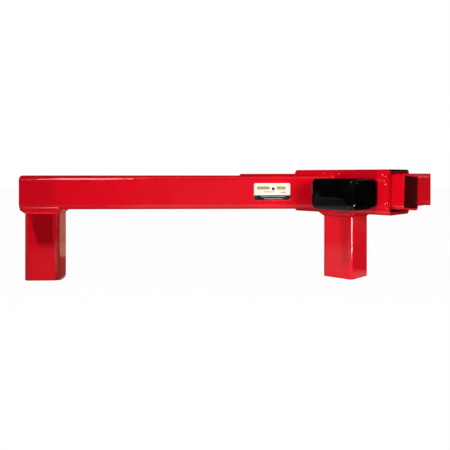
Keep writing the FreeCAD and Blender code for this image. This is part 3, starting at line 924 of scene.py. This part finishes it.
def leg_shade(tree, x, z):
    """About half shade on the whole leg, deeper along both upright edges, and a full shade that is slanted
    on the left and soft below.
    """
    below_top = tree.math("ADD", z, LEG_SHADE_DROP)
    lean = tree.math("MULTIPLY", below_top, LEG_SHADE_SLOPE)
    slanted = tree.math("ADD", lean, tree.math("ADD", x, LEG_SHADE_LEFT))
    full = both(tree, tree.step(slanted, -0.002, 0.003), tree.step(x, -0.3080, -0.3100))
    full = both(tree, full, tree.step(z, -0.104, -0.066))
    left_half = tree.step(x, -0.355, -0.366, 0.46, 0.60)
    right_edge = tree.step(x, -0.308, -0.302, 0.0, 0.85)
    return tree.math("MAXIMUM", full, tree.math("MAXIMUM", left_half, right_edge))


def right_leg_shade(tree, x, z):
    """A soft upright band beside the leg's near corner."""
    band = between(tree, x, 0.3285, 0.3385, 0.3485, 0.3510)
    return both(tree, band, tree.step(z, -0.145, -0.105))


def sleeve_shade(tree, x, _):
    """The sleeve's front face above the cap."""
    return between(tree, x, 0.316, 0.326, 0.3910, 0.3955)


def beam_shade(tree, x, _):
    """Darker towards the beam's left end, with a step where the leg stands."""
    leg_step = tree.step(x, -0.3085, -0.3115, 0.0, 0.17)
    slow = tree.math("ADD", tree.step(x, 0.19, 0.10, 0.0, 0.26), tree.step(x, -0.12, -0.30, 0.0, 0.14))
    return tree.math("ADD", slow, leg_step)


def painted_foot_shadow(tree, x, y):
    """1 where a thin shadow is painted into the floor along the left foot's right side."""
    beside = between(tree, x, -0.3050, -0.3010, -0.2970, -0.2945)
    return both(tree, beside, between(tree, y, -0.037, -0.028, 0.008, 0.022))


def floor_material():
    """Pale floor. To the camera it is nearly shadowless, apart from a thin shadow painted beside the left
    foot;
    in reflections it is bright near the object only.
    """
    material, tree, surface = bare_material("floor")
    rays = tree.add("LightPath").outputs
    geometry = tree.add("NewGeometry").outputs
    x, y, _ = tree.split(geometry["Position"])
    backwards = {0: geometry["Incoming"], "Scale": -1.0}
    away = tree.add("VectorMath", backwards, operation="SCALE").outputs[0]
    tone = tree.colour(lit_floor_reach(tree, x, y), studio_tone(tree, away), floor_tone(tree, x, y))
    warm = tree.colour(tree.step(y, 0.0, 0.2), rgba((1.0, 1.0, 1.0)), rgba((1.25, 1.0, 0.68)))
    reflected = tree.add("Emission", {"Color": warm, "Strength": tone}).outputs[0]
    pale = tree.add("BsdfDiffuse", {"Color": rgba((0.80, 0.80, 0.79))}).outputs[0]
    lit = tree.add("MixShader", {0: rays["Is Glossy Ray"], 1: pale, 2: reflected}).outputs[0]
    # Painted shadow: the floor's white glow dims to grey in a thin strip beside the left foot.
    bright = tree.step(painted_foot_shadow(tree, x, y), 0.0, 1.0, 1.03, 0.15)
    white = tree.add("Emission", {"Color": rgba((1, 1, 1)), "Strength": bright}).outputs[0]
    seen = tree.add("MixShader", {0: PALE_SHARE, 1: white, 2: pale}).outputs[0]
    tree.feed(surface, tree.add("MixShader", {0: rays["Is Camera Ray"], 1: lit, 2: seen}).outputs[0])
    return material


def make_floor():
    reach = FLOOR_REACH
    z = CAD_BOX[0].z
    corners = [(-reach, -reach, z), (reach, -reach, z), (reach, reach, z), (-reach, reach, z)]
    new_panel("floor", floor_material(), corners)


def make_world():
    """White to the camera, soft and even to surfaces, and mostly dark to reflections, as in a studio."""
    world = bpy.data.worlds.new("world")
    bpy.context.scene.world = world
    world.use_nodes = True
    world.cycles.sampling_method = "NONE"
    tree = Tree(world.node_tree)
    tree.tree.nodes.clear()
    rays = tree.add("LightPath").outputs
    direction = tree.add("TexCoord").outputs["Generated"]
    even = tree.colour(rays["Is Glossy Ray"], rgba((0.20, 0.20, 0.20)), studio_tone(tree, direction))
    strength = tree.math("MAXIMUM", even, rays["Is Camera Ray"])
    back = tree.add("Background", {"Color": (1, 1, 1, 1), "Strength": strength}).outputs[0]
    output = tree.add("OutputWorld")
    tree.feed(output.inputs["Surface"], back)


def make_camera():
    data = bpy.data.cameras.new("camera")
    data.sensor_width = SENSOR_WIDTH
    data.lens = FOCAL_LENGTH
    data.shift_y = CAMERA_SHIFT_Y
    data.clip_start = 0.01
    camera = bpy.data.objects.new("camera", data)
    camera.location = CAMERA_PLACE
    camera.rotation_euler = (math.pi / 2, 0, CAMERA_YAW)
    bpy.context.scene.collection.objects.link(camera)
    bpy.context.scene.camera = camera


make_floor()
make_world()
make_camera()

# Name, centre, the point it faces, width, height, strength and the share of its light that goes sideways
card("card_tall_left", (-0.86, -2.2, 1.95), (-0.3, -0.04, 0.07), 0.56, 1.5, 9.2)
card("card_low_right", (0.53, -0.37, -0.095), (0.36, -0.06, -0.09), 0.16, 0.12, 24.0, 0.07)
card("card_strip_right", (2.7, 0.55, 0.62), (0.38, -0.1, 0.06), 0.9, 0.25, 3.0)
black_card("card_black", (0.116, -0.049), (0.172, 0.049))

# Name, centre, the point it faces, size, power and spread in degrees
soft_light("key_left", (-1.6, -2.2, 0.65), (0.35, 0, 0), 0.8, 12.6, 100)
soft_light("fill_right", (1.1, -2.3, 0.35), (0.2, 0, 0), 1.2, 26.0, 140)
soft_light("back", (-0.5, 2.8, 0.9), (0.1, 0, 0), 1.4, 10.0, 180)
soft_light("fill_top", (0.1, 0.2, 2.4), (0, 0, 0), 1.6, 5.0, 180)

# Name, left and right ends in plan, lowest and highest Z, the shade's pattern and its strength
flag("flag_left_leg", (-0.392, -0.041), (-0.288, -0.041), -0.16, -0.0085, leg_shade, 1.0)
flag("flag_beam", (-0.392, -0.043), (0.20, -0.043), -0.004, 0.085, beam_shade, 1.0)
flag("flag_right_leg", (0.3210, -0.0290), (0.3520, -0.0600), -0.150, -0.0175, right_leg_shade, 0.45)
flag("flag_sleeve", (0.3150, -0.0391), (0.3970, -0.1211), 0.0705, 0.0893, sleeve_shade, 0.36)
bpy.context.scene.view_settings.view_transform = "Standard"
